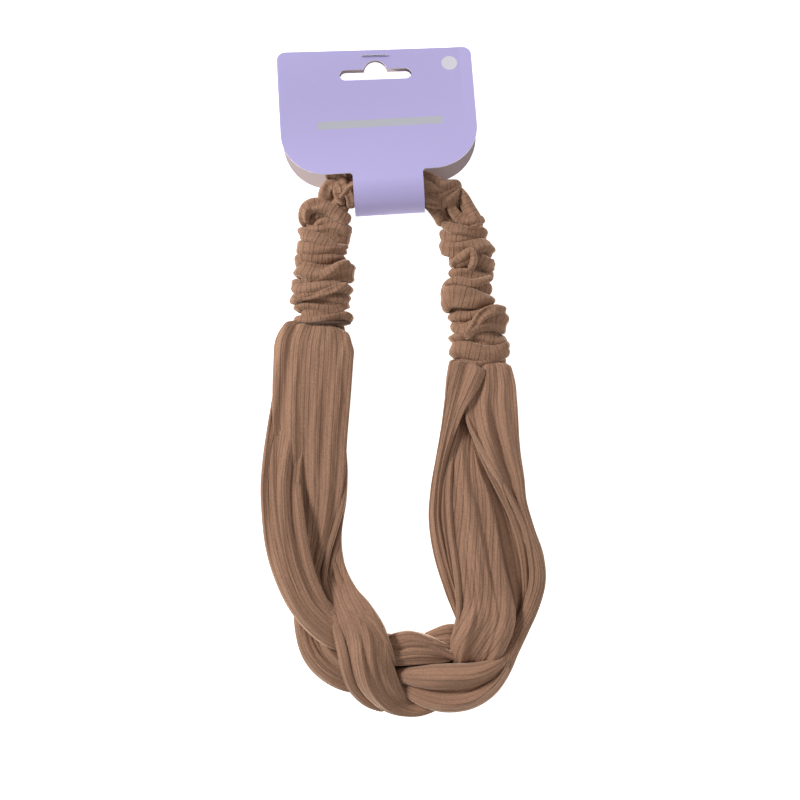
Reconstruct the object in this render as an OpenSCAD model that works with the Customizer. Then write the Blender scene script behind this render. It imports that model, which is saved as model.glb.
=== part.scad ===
// Knotted headband on its folded hang card, lying flat.
// Millimetres. X across the band, Y from the knot up to the card, Z up from the surface.

/* [Fabric strands] */
// Thickness of a strand where it lies free in a panel
strand_t = 4.8; // [4:0.1:4.9]
// Scale of every strand's width
strand_fill = 1; // [0.8:0.01:1]

/* [Ruched casing] */
// Width of the gathered casing along the arms
casing_w = 24; // [18:0.5:26]
// Height of the gathered casing along the arms
casing_h = 11.5; // [9:0.5:12]
// Width and height of the bunched casing inside the card's fold
bunch_d = 17; // [15:0.1:17]
// Thickness of the casing's wall of gathered fabric
casing_wall = 3; // [2:0.1:3]

/* [Elastic] */
// Width of the flat elastic inside the casing
elastic_w = 10; // [8:0.5:10]
// Thickness of the flat elastic
elastic_t = 1.2; // [0.8:0.1:1.5]

/* [Seams] */
// Length of each sewn seam along the band
seam_l = 1.8; // [1.2:0.1:1.8]
// Width of the sewn bundle of thread and fabric
seam_w = 26; // [24:0.5:27]
// Height of the sewn bundle
seam_h = 13.2; // [12.5:0.1:13.5]

/* [Hang card] */
// Width of each flap
card_w = 86; // [80:0.5:90]
// Height of each flap from its top edge to the start of the neck
flap_h = 59.5; // [56:0.5:60]
// Distance that the flaps sit to the left of the neck's middle
flap_shift = 2.7; // [0:0.1:4]
// Distance from the fold's axis to the top edge
card_top = 63; // [62:0.5:66]
// Width of the neck that wraps round the casing
neck_w = 30.5; // [26:0.5:34]
// Thickness of the board
board_t = 0.5; // [0.35:0.05:0.6]
// Inside radius of the fold round the casing
fold_r = 10.6; // [10.4:0.1:11]
// Radius of the lower corners
low_corner_r = 20; // [14:0.5:22]
// Radius of the upper corners
top_corner_r = 4; // [2:0.5:8]
// Turn of the card on the surface, in degrees
card_turn = 3.5; // [0:0.5:6]

/* [Hang hole] */
// Length of the hang hole's bar
slot_l = 31.75; // [28:0.25:32]
// Height of the hang hole's bar
slot_h = 5.2; // [4.5:0.1:6]
// Diameter of the hang hole's centre bump
slot_bump_d = 10.3; // [8:0.1:11]
// Distance from the card's top edge to the bar's centre line
slot_down = 12.3; // [11:0.1:16]

/* [Staple] */
// Width across the staple
staple_w = 11; // [8:0.5:13]
// Thickness of the staple's wire
staple_wire = 0.6; // [0.5:0.05:0.6]
// Distance from the card's top edge to the staple
staple_down = 2.8; // [2.4:0.1:4]

/* [Hidden] */

strand_colour = [0.55, 0.41, 0.31];
casing_colour = [0.60, 0.45, 0.34];
thread_colour = [0.42, 0.30, 0.22];
elastic_colour = [0.88, 0.87, 0.84];
card_colour = [0.71, 0.67, 0.86];
steel_colour = [0.72, 0.73, 0.75];

sides = 16;
steps = 3;

// Where the fold's axis crosses the card's middle line
fold_at = [-6.5, 83.5, board_t + fold_r];
// Seam planes: the middle of each seam and its turn on the surface
seam_left_at = [-36, 25.3, seam_h / 2 + 0.2];
seam_right_at = [33.4, 5.3, seam_h / 2 + 0.2];

// Strand routes, each point [x, y, z, width, thickness as a share of strand_t].
// The rear strand leaves the left panel lowest, crosses over the knot,
// turns under the middle strand and runs up the right panel on top.
rear_route = [
    [-36, 23.6, 2.3, 24.5, 0.88],
    [-36, 19, 2.3, 25, 0.88],
    [-36.5, 12, 2.4, 28, 0.92],
    [-39, -8, 2.5, 33, 1],
    [-38, -35, 2.5, 29, 1],
    [-32.5, -55, 2.5, 18, 1],
    [-30, -68, 2.7, 14, 1],
    [-28.5, -80, 4.8, 14, 1],
    [-27, -90, 10.4, 15, 1.05],
    [-24.5, -99.5, 15, 17, 1.1],
    [-21, -108.5, 16.6, 20, 1.1],
    [-17, -117, 16.6, 22, 1.1],
    [-12, -128, 14, 21, 1.1],
    [-6.5, -137.5, 9.8, 14, 1.05],
    [0.5, -143, 5, 10, 1],
    [10, -143.2, 2.8, 10, 1],
    [19, -138, 2.7, 11, 1],
    [25, -130.5, 3.2, 10, 1],
    [28.5, -124, 6.6, 10, 1],
    [30.5, -117, 9.2, 13, 1],
    [32.5, -106, 9, 17, 1.05],
    [33, -92, 8.7, 19, 1.05],
    [30, -70, 8.4, 17, 1],
    [28, -50, 8.2, 15, 1],
    [28, -30, 8, 14, 1],
    [31, -13, 7.6, 17, 0.95],
    [33.2, -4, 6.9, 23, 0.88],
    [33.4, 0, 6.8, 24, 0.88],
    [33.4, 3.6, 6.8, 24, 0.88]
];
// The front strand leaves the left panel highest, passes under the rear strand
// twice and runs up the right panel lowest.
front_route = [
    [-36, 23.6, 11.3, 24.5, 0.88],
    [-36, 19, 11.3, 25, 0.88],
    [-37.5, 12, 11.4, 27, 0.9],
    [-45, -8, 11.5, 26, 1],
    [-50, -35, 11.3, 24, 1],
    [-52.5, -55, 10.8, 20, 1],
    [-52.5, -72, 10, 18, 1.05],
    [-49, -86, 9.4, 17, 1.1],
    [-42.5, -98, 9.1, 17, 1.1],
    [-33, -107, 8.9, 16.5, 1.1],
    [-21.5, -113, 8.8, 16, 1.1],
    [-9.5, -116, 8, 15, 1.1],
    [2, -117.5, 6, 14.5, 1.1],
    [13, -118, 4, 14, 1.05],
    [24, -117, 2.8, 13, 1],
    [34, -113.5, 2.6, 12.5, 1],
    [40, -105, 2.6, 13, 1],
    [38.5, -93, 2.6, 14, 1],
    [32, -82, 2.6, 16, 1],
    [26, -70, 2.5, 19, 1],
    [24, -50, 2.5, 20, 1],
    [26, -30, 2.5, 22, 1],
    [31, -12, 2.4, 24, 0.95],
    [33.2, -4, 2.3, 24, 0.88],
    [33.4, 0, 2.3, 24, 0.88],
    [33.4, 3.6, 2.3, 24, 0.88]
];
// The middle strand dives under the front strand, passes under the rear strand,
// comes up over it along the bottom of the knot and makes the outer right edge.
middle_route = [
    [-36, 23.6, 6.8, 24.5, 0.88],
    [-36, 19, 6.8, 25, 0.88],
    [-35.5, 12, 6.9, 26, 0.88],
    [-33.5, -8, 7.2, 23, 0.95],
    [-34, -35, 7.4, 21, 0.98],
    [-36, -50, 7.4, 18, 1],
    [-38.5, -60, 7.2, 15, 1],
    [-42, -70, 5.6, 12, 1],
    [-45, -80, 3.2, 11, 1],
    [-46.5, -91, 2.6, 11, 1],
    [-44, -103, 2.6, 11.5, 1],
    [-38, -113.5, 2.6, 12, 1],
    [-29, -121.5, 2.6, 12, 1],
    [-18, -127, 2.6, 12, 1],
    [-8.5, -129, 3.4, 11, 1],
    [0, -129.6, 6, 9, 1.05],
    [9, -132, 8.8, 12, 1.05],
    [19, -135, 9.2, 17, 1.1],
    [30.5, -136, 9.2, 17, 1.1],
    [41.5, -131.5, 8, 15, 1.1],
    [49.5, -121, 6.5, 14, 1.05],
    [53.8, -107, 5.4, 14, 1],
    [55.5, -90, 5, 14, 1],
    [54, -74, 5, 14, 1],
    [50.5, -58, 5.6, 14, 1],
    [46.5, -42, 7.2, 14, 1],
    [41.5, -26, 11.2, 16, 1],
    [36, -12, 12.5, 20, 0.95],
    [33.6, -4, 11.5, 23, 0.88],
    [33.4, 0, 11.3, 24, 0.88],
    [33.4, 3.6, 11.3, 24, 0.88]
];

// The casing's route, each point [x, y, z, share of casing_w, share of casing_h].
// It runs from the left seam over the top, bunched inside the card's fold, to the
// right seam, and is cut into three nodes at two of its points.
bunch = bunch_d / casing_w;
bunch_tall = bunch_d / casing_h;
casing_route = [
    [-36, 26.8, 6.9, 1.06, 1.1],
    [-36, 33, 6.6, 1.02, 1.04],
    [-36, 46, 6.2, 1, 1],
    [-35.8, 59, 6.3, 0.96, 1],
    [-33, 70.5, 7.2, 0.9, 1.1],
    [-27.5, 79.8, 9.4, 0.76, 1.3],
    [-17.5, 83.6, fold_at[2], bunch, bunch_tall],
    [-6.5, 84, fold_at[2], bunch, bunch_tall],
    [4.5, 84.9, fold_at[2], bunch, bunch_tall],
    [14.6, 82.6, 9.4, 0.78, 1.3],
    [21, 74.5, 7.2, 0.9, 1.1],
    [26, 63, 6.3, 0.96, 1],
    [28.5, 48, 6.2, 1, 1],
    [30.5, 32, 6.2, 1, 1],
    [33, 19, 6.3, 1.02, 1.02],
    [33.4, 12, 6.6, 1.03, 1.04],
    [33.4, 6.8, 6.9, 1.04, 1.1]
];
left_cut = 4;
right_cut = 10;
cut_gap = 0.4;

function xyz(p) = [p[0], p[1], p[2]];
function unit(v) = v / norm(v);

// Catmull-Rom curve through every point of a route
function between(p, i, u) =
    let (
        b = p[i],
        c = p[i + 1],
        a = i == 0 ? 2 * b - c : p[i - 1],
        d = i == len(p) - 2 ? 2 * c - b : p[i + 2]
    )
    0.5 * (2 * b + (c - a) * u + (2 * a - 5 * b + 4 * c - d) * u * u
        + (3 * b - a - 3 * c + d) * u * u * u);
function curve(p) = concat(
    [for (i = [0:len(p) - 2]) for (k = [0:steps - 1]) between(p, i, k / steps)],
    [p[len(p) - 1]]
);
function ahead(path, i) =
    unit(xyz(path[min(i + 1, len(path) - 1)]) - xyz(path[max(i - 1, 0)]));

// One closed ring: the width lies level and the thickness stands across the route.
// shift slides the ring along the route.
function ring(path, i, wide, tall, shift = 0) =
    let (
        t = ahead(path, i),
        side = unit([t[1], -t[0], 0]),
        up = cross(side, t)
    )
    [for (k = [0:sides - 1])
        xyz(path[i]) + t * shift
            + side * cos(360 * k / sides) * wide / 2
            + up * sin(360 * k / sides) * tall / 2];

// A closed tube through rings of equal size
module tube(rings) {
    last = (len(rings) - 1) * sides;
    walls = [
        for (i = [0:len(rings) - 2]) for (k = [0:sides - 1])
            let (a = i * sides + k, b = i * sides + (k + 1) % sides)
            each [[a, b, b + sides], [a, b + sides, a + sides]]
    ];
    start = [for (k = [sides - 1:-1:0]) k];
    end = [for (k = [0:sides - 1]) last + k];
    polyhedron([for (r = rings) each r], concat(walls, [start, end]), convexity = 8);
}

module strand(route) {
    path = curve(route);
    tube([for (i = [0:len(path) - 1])
        ring(path, i, path[i][3] * strand_fill, strand_t * path[i][4])]);
}

// The stretch of the casing between two points of its route. over is how far it
// runs on past both ends, and margin draws it in on every side.
module casing_stretch(from, to, over, margin) {
    path = curve(casing_route);
    first = from * steps;
    final = to * steps;
    tube([for (i = [first:final])
        ring(path, i, path[i][3] * casing_w - 2 * margin,
            path[i][4] * casing_h - 2 * margin,
            i == first ? -over : i == final ? over : 0)]);
}

module casing(from, to) {
    difference() {
        casing_stretch(from, to, -cut_gap / 2, 0);
        casing_stretch(from, to, 1, casing_wall);
    }
}

module elastic(from, to) {
    path = curve(casing_route);
    first = from * steps;
    final = to * steps;
    tube([for (i = [first:final])
        ring(path, i, elastic_w, elastic_t,
            i == first ? cut_gap / 2 : i == final ? -cut_gap / 2 : 0)]);
}

module front_strand() {
    color(strand_colour) strand(front_route);
}

module middle_strand() {
    color(strand_colour) strand(middle_route);
}

module rear_strand() {
    color(strand_colour) strand(rear_route);
}

// A flat oval ring of thread round the gathered ends, open for the elastic
module seam(at) {
    r = seam_h / 2;
    translate(at) rotate([90, 0, 0]) linear_extrude(seam_l, center = true)
        difference() {
            seam_outline(r);
            seam_outline(r - 2.2);
        }
}

module seam_outline(r) {
    reach = (seam_w - seam_h) / 2;
    square([2 * reach, 2 * r], center = true);
    for (s = [-1, 1]) translate([s * reach, 0]) circle(r, $fn = 48);
}

module seam_left() {
    color(thread_colour) seam(seam_left_at);
}

module seam_right() {
    color(thread_colour) seam(seam_right_at);
}

module casing_left() {
    color(casing_colour) casing(0, left_cut);
}

module casing_top() {
    color(casing_colour) casing(left_cut, right_cut);
}

module casing_right() {
    color(casing_colour) casing(right_cut, len(casing_route) - 1);
}

module elastic_left() {
    color(elastic_colour) elastic(0, left_cut);
}

module elastic_top() {
    color(elastic_colour) elastic(left_cut, right_cut);
}

module elastic_right() {
    color(elastic_colour) elastic(right_cut, len(casing_route) - 1);
}

// Card angles: the back flap lies level and the front flap leans onto its top edge
fold_mid = fold_r + board_t / 2;
rest_gap = 0.1;
top_level = board_t + rest_gap - fold_mid;
top_away = norm([card_top, top_level]);
front_lean = asin(fold_mid / top_away) - atan2(top_level, card_top);
// Length of the leaning flap from where it leaves the fold to its top edge
front_reach = sqrt(pow(top_away, 2) - pow(fold_mid, 2));
leg_x = (staple_w - staple_wire) / 2;
// Each clinched end is pressed into the back flap, flush with its face
clinch_l = 4;
clinch_x = leg_x - 1.7;
// The flaps start this far inside the fold, and the fold stands this much inside
// the flaps' faces and sides, so that the board is one solid
lap = 0.3;
inset = 0.05;

module hang_hole() {
    square([slot_l - slot_h, slot_h], center = true);
    for (s = [-1, 1])
        translate([s * (slot_l - slot_h) / 2, 0]) circle(d = slot_h, $fn = 48);
    translate([0, (slot_bump_d - slot_h) / 2 - 0.7])
        circle(d = slot_bump_d, $fn = 64);
}

// One flap with its share of the neck; y = 0 is where it leaves the fold
module flap_outline(reach) {
    low = reach - flap_h;
    half = card_w / 2;
    difference() {
        union() {
            translate([-neck_w / 2, -lap]) square([neck_w, lap + low + low_corner_r]);
            translate([-flap_shift, 0]) {
                translate([-half + low_corner_r, low])
                    square([card_w - 2 * low_corner_r, flap_h - top_corner_r]);
                translate([-half, low + low_corner_r])
                    square([card_w, flap_h - low_corner_r - top_corner_r]);
                translate([-half + top_corner_r, reach - top_corner_r * 2])
                    square([card_w - 2 * top_corner_r, top_corner_r * 2]);
                for (s = [-1, 1]) {
                    translate([s * (half - low_corner_r), low + low_corner_r])
                        circle(low_corner_r, $fn = 96);
                    translate([s * (half - top_corner_r), reach - top_corner_r])
                        circle(top_corner_r, $fn = 48);
                }
            }
        }
        translate([-flap_shift, reach - slot_down]) hang_hole();
        for (s = [-1, 1])
            translate([s * leg_x - flap_shift, reach - staple_down])
                circle(d = staple_wire + 0.3, $fn = 24);
    }
}

module card_place() {
    translate(fold_at) rotate([0, 0, card_turn]) children();
}

module hang_card() {
    color(card_colour) card_place() {
        translate([0, 0, -fold_r - board_t])
            linear_extrude(board_t) difference() {
                flap_outline(card_top);
                for (s = [-1, 1])
                    translate([s * clinch_x - flap_shift, card_top - staple_down])
                        square([clinch_l + 0.3, staple_wire + 0.3], center = true);
            }
        rotate([-front_lean, 0, 0]) translate([0, 0, fold_r])
            linear_extrude(board_t) flap_outline(front_reach);
        rotate([0, 90, 0]) rotate([0, 0, 180 - front_lean])
            rotate_extrude(angle = 180 + front_lean, $fn = 96)
                translate([fold_r - inset, inset - neck_w / 2])
                    square([board_t, neck_w - 2 * inset]);
    }
}

// A level length of wire along the staple's crown
module wire(level, middle, length) {
    translate([middle, 0, level]) rotate([0, 90, 0])
        cylinder(h = length, d = staple_wire, center = true, $fn = 24);
}

// Wire staple through both flaps, clinched flush into the back flap
module staple() {
    crown = -fold_r + rest_gap + staple_down * sin(front_lean)
        + board_t / cos(front_lean) + staple_wire / 2 + 0.15;
    clinch = -fold_r - board_t + staple_wire / 2;
    color(steel_colour) card_place()
        translate([-flap_shift, card_top - staple_down, 0]) {
            wire(crown, 0, staple_w);
            for (s = [-1, 1]) {
                translate([s * leg_x, 0, clinch])
                    cylinder(h = crown - clinch, d = staple_wire, $fn = 24);
                wire(clinch, s * clinch_x, clinch_l);
            }
        }
}

front_strand();
middle_strand();
rear_strand();
seam_left();
seam_right();
casing_left();
casing_top();
casing_right();
elastic_left();
elastic_top();
elastic_right();
hang_card();
staple();
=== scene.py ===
import math

import bmesh
import bpy
import numpy as np
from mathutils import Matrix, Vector


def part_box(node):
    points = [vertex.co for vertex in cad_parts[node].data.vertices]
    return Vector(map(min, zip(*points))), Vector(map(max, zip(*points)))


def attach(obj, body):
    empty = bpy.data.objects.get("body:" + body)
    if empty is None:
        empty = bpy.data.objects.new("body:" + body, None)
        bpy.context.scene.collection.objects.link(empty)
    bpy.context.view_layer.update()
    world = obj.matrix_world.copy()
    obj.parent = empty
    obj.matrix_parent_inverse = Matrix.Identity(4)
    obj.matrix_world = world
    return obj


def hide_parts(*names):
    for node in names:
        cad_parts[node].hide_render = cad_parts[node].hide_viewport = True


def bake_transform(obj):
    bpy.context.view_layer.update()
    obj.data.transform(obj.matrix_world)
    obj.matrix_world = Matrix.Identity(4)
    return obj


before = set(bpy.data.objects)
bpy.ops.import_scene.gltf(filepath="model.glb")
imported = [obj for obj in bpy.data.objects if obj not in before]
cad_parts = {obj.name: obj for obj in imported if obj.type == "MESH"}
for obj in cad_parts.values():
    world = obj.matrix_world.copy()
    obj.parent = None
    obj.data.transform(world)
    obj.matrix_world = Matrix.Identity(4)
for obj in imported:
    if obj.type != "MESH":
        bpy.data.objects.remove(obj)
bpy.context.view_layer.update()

# Lengths are in millimetres until a mesh is made. X runs across the band, Y from the
# knot to the card and Z up from the table.
MM = 0.001
CLOTH_MAP = "cloth"
RIB_PITCH = 4.4      # from one pair of dropped-needle lines to the next
REST = 0.4           # how near the table soft cloth starts to flatten out on it


# ---------------------------------------------------------------- curves and forms

def smooth_rows(points, spacing, loop=False):
    """Catmull-Rom through rows that start with x, y, z, spaced evenly along the curve.
    Returns the rows and how far along the curve each one lies."""
    p = np.array(points, float)
    if loop:
        ends = np.vstack([p[-1:], p, p[:2]])
    else:
        ends = np.vstack([2 * p[0] - p[1], p, 2 * p[-1] - p[-2]])
    u = np.linspace(0, 1, 24, endpoint=False)[:, None]
    spans = [
        0.5 * (2 * b + (c - a) * u + (2 * a - 5 * b + 4 * c - d) * u ** 2
               + (3 * b - a - 3 * c + d) * u ** 3)
        for a, b, c, d in zip(ends, ends[1:], ends[2:], ends[3:])
    ]
    dense = np.vstack(spans + [ends[-2:-1]])
    step = np.linalg.norm(np.diff(dense[:, :3], axis=0), axis=1)
    along = np.concatenate([[0], np.cumsum(step)])
    at = np.linspace(0, along[-1], max(4, round(along[-1] / spacing) + 1))
    if loop:
        at = at[:-1]
    return np.column_stack([np.interp(at, along, column) for column in dense.T]), at


def unit(v):
    return v / np.linalg.norm(v, axis=-1, keepdims=True)


def directions(centre, loop=False):
    """The way a curve heads at each of its points."""
    if loop:
        return unit(np.roll(centre, -1, axis=0) - np.roll(centre, 1, axis=0))
    return unit(np.gradient(centre, axis=0))


def outline(squareness, flatness, cells):
    """Across and up factors of a superellipse, spaced evenly round it, and each
    point's share of the way round."""
    a = np.linspace(0, 2 * np.pi, 1441)
    power = 2 / squareness
    c = np.sign(np.cos(a)) * np.abs(np.cos(a)) ** power
    s = np.sign(np.sin(a)) * np.abs(np.sin(a)) ** power
    way = np.concatenate([[0], np.cumsum(np.hypot(np.diff(c), flatness * np.diff(s)))])
    at = np.linspace(0, way[-1], cells, endpoint=False)
    return np.interp(at, way, c), np.interp(at, way, s), at / way[-1]


def ripple(x, y, seed, length_x, length_y, count=9):
    """Seeded smooth noise of about unit size, with waves of these lengths in x and y."""
    draw = np.random.default_rng(seed)
    total = 0
    for _ in range(count):
        turn = draw.uniform(-0.9, 0.9)
        stretch = draw.uniform(0.7, 1.5)
        phase = draw.uniform(0, 2 * np.pi)
        way = draw.choice((-1, 1))
        total = total + np.sin(2 * np.pi * stretch * (
            np.cos(turn) * x / length_x + way * np.sin(turn + 0.4) * y / length_y) + phase)
    return total / math.sqrt(count / 2)


class Cloth:
    """Collects closed soft forms into one mesh with a cloth map in millimetres."""

    def __init__(self):
        self.points = []
        self.faces = []
        self.maps = []
        self.count = 0

    def skin(self, rings, share, at, wide, turned=False, loop=False, twist=0.0):
        """Closes a grid of rings (rings x cells x 3) into one form. share is each
        cell's part of the way round and at each ring's place along the form."""
        n, cells = rings.shape[:2]
        z = rings[..., 2]
        rings[..., 2] = np.where(z < REST, REST * np.exp((z - REST) / REST), z)
        first = self.count
        self.points.append(rings.reshape(-1, 3))
        self.count += n * cells
        share = np.append(share, 1.0)
        last = n if loop else n - 1
        far = np.append(at, at[-1] + (at[1] - at[0]))
        for i in range(last):
            j = (i + 1) % n
            for k in range(cells):
                m = (k + 1) % cells
                self.faces.append((first + i * cells + k, first + i * cells + m,
                                   first + j * cells + m, first + j * cells + k))
                u0, u1 = share[k] * wide, share[k + 1] * wide
                v0, v1 = far[i], far[i + 1]
                a, b = twist * v0, twist * v1
                corners = [(u0 + a, v0), (u1 + a, v0), (u1 + b, v1), (u0 + b, v1)]
                if turned:
                    corners = [(v, u) for u, v in corners]
                self.maps.extend(corners)
        if not loop:
            self.faces.append(tuple(first + k for k in reversed(range(cells))))
            self.faces.append(tuple(first + (n - 1) * cells + k for k in range(cells)))
            for v in (far[0], far[n - 1]):
                self.maps.extend([(v, 0.0) if turned else (0.0, v)] * cells)

    def make(self, name, material):
        mesh = bpy.data.meshes.new(name)
        mesh.from_pydata((np.vstack(self.points) * MM).tolist(), [], self.faces)
        uv = mesh.uv_layers.new(name=CLOTH_MAP)
        uv.data.foreach_set("uv", np.array(self.maps, np.float32).ravel())
        mesh.polygons.foreach_set("use_smooth", [True] * len(mesh.polygons))
        mesh.materials.append(material)
        mesh.update()
        piece = bpy.data.objects.new(name, mesh)
        bpy.context.scene.collection.objects.link(piece)
        return piece


def sweep(cloth, points, squareness=2.6, spacing=1.2, cell=0.6, relief=None, wide=None,
          turned=False, loop=False, side=None, taper=3.0, twist=0.0):
    """Adds a soft form along a curve. A row is x, y, z, width, height and, where it
    leans, the tilt in degrees that lifts the side to the right of travel."""
    points = [tuple(p) + (0,) * (6 - len(p)) for p in points]
    rows, at = smooth_rows(points, spacing, loop)
    centre, width, height = rows[:, :3], rows[:, 3], rows[:, 4]
    tilt = np.radians(rows[:, 5])[:, None]
    ahead = directions(centre, loop)
    if side is None:
        level = unit(np.cross(ahead, (0, 0, 1)))
    else:
        level = unit(np.array(side) - ahead * (ahead @ np.array(side))[:, None])
    up = np.cross(level, ahead)
    level, up = level * np.cos(tilt) + up * np.sin(tilt), up * np.cos(tilt) - level * np.sin(tilt)
    if not loop:
        near = np.minimum(at, at[-1] - at) / taper
        shrink = np.sqrt(1 - (1 - np.clip(near, 0.02, 1)) ** 2)
        width, height = width * shrink, height * shrink
    girth = 2 * (width.max() + 0.6 * height.max())
    cells = int(np.clip(round(girth / cell), 12, 130))
    c, s, share = outline(squareness, np.median(height) / np.median(width), cells)
    rings = (centre[:, None]
             + level[:, None] * (width[:, None] / 2 * c)[..., None]
             + up[:, None] * (height[:, None] / 2 * s)[..., None])
    wide = wide or girth
    if relief is not None:
        u = share[None] * wide + twist * at[:, None]
        rings += up[:, None] * relief(c, s, u, at, width)[..., None]
    cloth.skin(rings, share, at, wide, turned, loop, twist)


def folds(seed, soft=0.5, creases=(), gap=10, reach=80, rib=0.1, bead=0.35):
    """Relief of a soft rib-knit strip: a seeded slow waviness, ribs, a rolled edge and
    placed creases. A crease is where it lies across at its two ends (-1 to 1), the
    shares of the length it runs between, and its height: a positive one laps the cloth
    on its right over that on its left."""
    def relief(c, s, u, at, width):
        across = c[None] * width[:, None] / 2
        out = soft * ripple(across, at[:, None], seed, gap, reach)
        out += 0.14 * soft * ripple(across, at[:, None], seed + 7, 3.5, 22)
        out += rib * np.cos(2 * np.pi * (u - RIB_PITCH / 2) / RIB_PITCH)
        out += bead * np.exp(-((np.abs(c[None]) - 0.93) / 0.07) ** 2) * np.sign(s)[None]
        far = (at / at[-1])[:, None]
        for first, last, start, end, depth in creases:
            t = np.clip((far - start) / (end - start), 0, 1)
            off = (c[None] - first - (last - first) * t) * width[:, None] / 2 * np.sign(depth)
            lip = np.exp(-np.maximum(off, 0) / 3.4) * np.clip(off / 0.6 + 0.5, 0, 1)
            dip = 0.35 * np.exp(np.minimum(off, 0) / 1.2) * np.clip(0.5 - off / 0.6, 0, 1)
            ends = np.clip((far - start) * 16, 0, 1) * np.clip((end - far) * 16, 0, 1)
            out += abs(depth) * (lip - dip) * ends
        return out
    return relief


# ---------------------------------------------------------------- materials

def nodes_of(name):
    material = bpy.data.materials.new(name)
    material.use_nodes = True
    tree = material.node_tree
    return material, tree, tree.nodes["Principled BSDF"]


def add(tree, kind, **settings):
    node = tree.nodes.new(kind)
    for key, value in settings.items():
        setattr(node, key, value)
    return node


def math_node(tree, operation, a, b=None):
    """A Math node; a and b are sockets or numbers."""
    node = add(tree, "ShaderNodeMath", operation=operation)
    for socket, value in zip(node.inputs, (a, b)):
        if value is None:
            continue
        if isinstance(value, (int, float)):
            socket.default_value = value
        else:
            tree.links.new(value, socket)
    return node.outputs[0]


def ramp(tree, factor, stops, interpolation="LINEAR"):
    node = add(tree, "ShaderNodeValToRGB")
    node.color_ramp.interpolation = interpolation
    elements = node.color_ramp.elements
    while len(elements) < len(stops):
        elements.new(0.5)
    for element, (place, shade) in zip(elements, stops):
        element.position = place
        element.color = (shade, shade, shade, 1) if isinstance(shade, (int, float)) else (*shade, 1)
    tree.links.new(factor, node.inputs[0])
    return node.outputs[0]


def mix(tree, blend, factor, a, b):
    node = add(tree, "ShaderNodeMix", data_type="RGBA", blend_type=blend)
    for socket, value in ((node.inputs[0], factor), (node.inputs[6], a), (node.inputs[7], b)):
        if isinstance(value, (int, float)):
            socket.default_value = value
        elif isinstance(value, tuple):
            socket.default_value = (*value, 1)
        else:
            tree.links.new(value, socket)
    return node.outputs[2]


def noise(tree, scale, detail=3, vector=None):
    node = add(tree, "ShaderNodeTexNoise")
    node.inputs["Scale"].default_value = scale
    node.inputs["Detail"].default_value = detail
    if vector is not None:
        tree.links.new(vector, node.inputs["Vector"])
    return node.outputs["Fac"]


def wave(tree, value, period):
    """0 to 1 and back once in every period of value."""
    turns = math_node(tree, "MULTIPLY", value, 2 * math.pi / period)
    swing = math_node(tree, "SINE", turns)
    return math_node(tree, "MULTIPLY_ADD", swing, 0.5)


def stretched(tree, x, y, scale_x, scale_y):
    """A texture place from two values at their own scales."""
    node = add(tree, "ShaderNodeCombineXYZ")
    tree.links.new(math_node(tree, "MULTIPLY", x, scale_x), node.inputs[0])
    tree.links.new(math_node(tree, "MULTIPLY", y, scale_y), node.inputs[1])
    return node.outputs[0]


def bump(tree, height, strength, distance, normal=None):
    node = add(tree, "ShaderNodeBump")
    node.inputs["Strength"].default_value = strength
    node.inputs["Distance"].default_value = distance
    tree.links.new(height, node.inputs["Height"])
    if normal is not None:
        tree.links.new(normal, node.inputs["Normal"])
    return node.outputs["Normal"]


def rib_knit(name, base, shade, rib_pitch=RIB_PITCH, wale=0.75, stitch=0.9):
    """Soft rib knit: fine wales, paired dropped-needle lines at every rib, short
    stitches along the wales, mottled colour and a fuzzy sheen."""
    material, tree, shader = nodes_of(name)
    cloth_map = add(tree, "ShaderNodeUVMap", uv_map=CLOTH_MAP)
    split = add(tree, "ShaderNodeSeparateXYZ")
    tree.links.new(cloth_map.outputs[0], split.inputs[0])
    across, along = split.outputs[0], split.outputs[1]
    place = add(tree, "ShaderNodeTexCoord").outputs["Object"]

    loosen = noise(tree, 90, 2, place)
    across = math_node(tree, "ADD", across, math_node(tree, "MULTIPLY", loosen, 0.5))
    turn = math_node(tree, "FRACT", math_node(tree, "DIVIDE", across, rib_pitch))
    lines = ramp(tree, turn, [
        (0.0, 0.9), (0.18, 1.0), (0.28, 0.35), (0.33, 0.35), (0.42, 0.85),
        (0.60, 0.85), (0.68, 0.5), (0.72, 0.5), (0.84, 1.0), (1.0, 0.9)])
    wales = wave(tree, across, wale)
    stitches = wave(tree, along, stitch)
    mottle = noise(tree, 35, 4, place)
    streak = noise(tree, 1.0, 2, stretched(tree, across, along, 1.3, 0.05))
    fuzz = noise(tree, 1500, 3, place)

    knit = math_node(tree, "MULTIPLY", wales, math_node(tree, "MULTIPLY_ADD", stitches, 0.35))
    tint = mix(tree, "MIX", ramp(tree, mottle, [(0.32, 0.0), (0.7, 1.0)]), shade, base)
    tint = mix(tree, "MULTIPLY", 0.34, tint, lines)
    tint = mix(tree, "MULTIPLY", 0.25, tint, ramp(tree, wales, [(0.0, 0.5), (0.6, 1.0)]))
    tint = mix(tree, "MULTIPLY", 0.18, tint, ramp(tree, streak, [(0.3, 0.45), (0.65, 1.0)]))
    tint = mix(tree, "MULTIPLY", 0.45, tint, ramp(tree, fuzz, [(0.3, 0.5), (0.7, 1.2)]))
    tree.links.new(tint, shader.inputs["Base Color"])

    normal = bump(tree, lines, 0.7, 0.0004)
    normal = bump(tree, knit, 0.4, 0.0002, normal)
    normal = bump(tree, fuzz, 0.45, 0.0002, normal)
    tree.links.new(normal, shader.inputs["Normal"])
    rough = ramp(tree, fuzz, [(0.0, 0.82), (1.0, 0.98)])
    tree.links.new(rough, shader.inputs["Roughness"])
    shader.inputs["Specular IOR Level"].default_value = 0.12
    shader.inputs["Sheen Weight"].default_value = 0.8
    shader.inputs["Sheen Roughness"].default_value = 0.4
    shader.inputs["Sheen Tint"].default_value = (1.0, 0.78, 0.6, 1)
    return material


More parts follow.
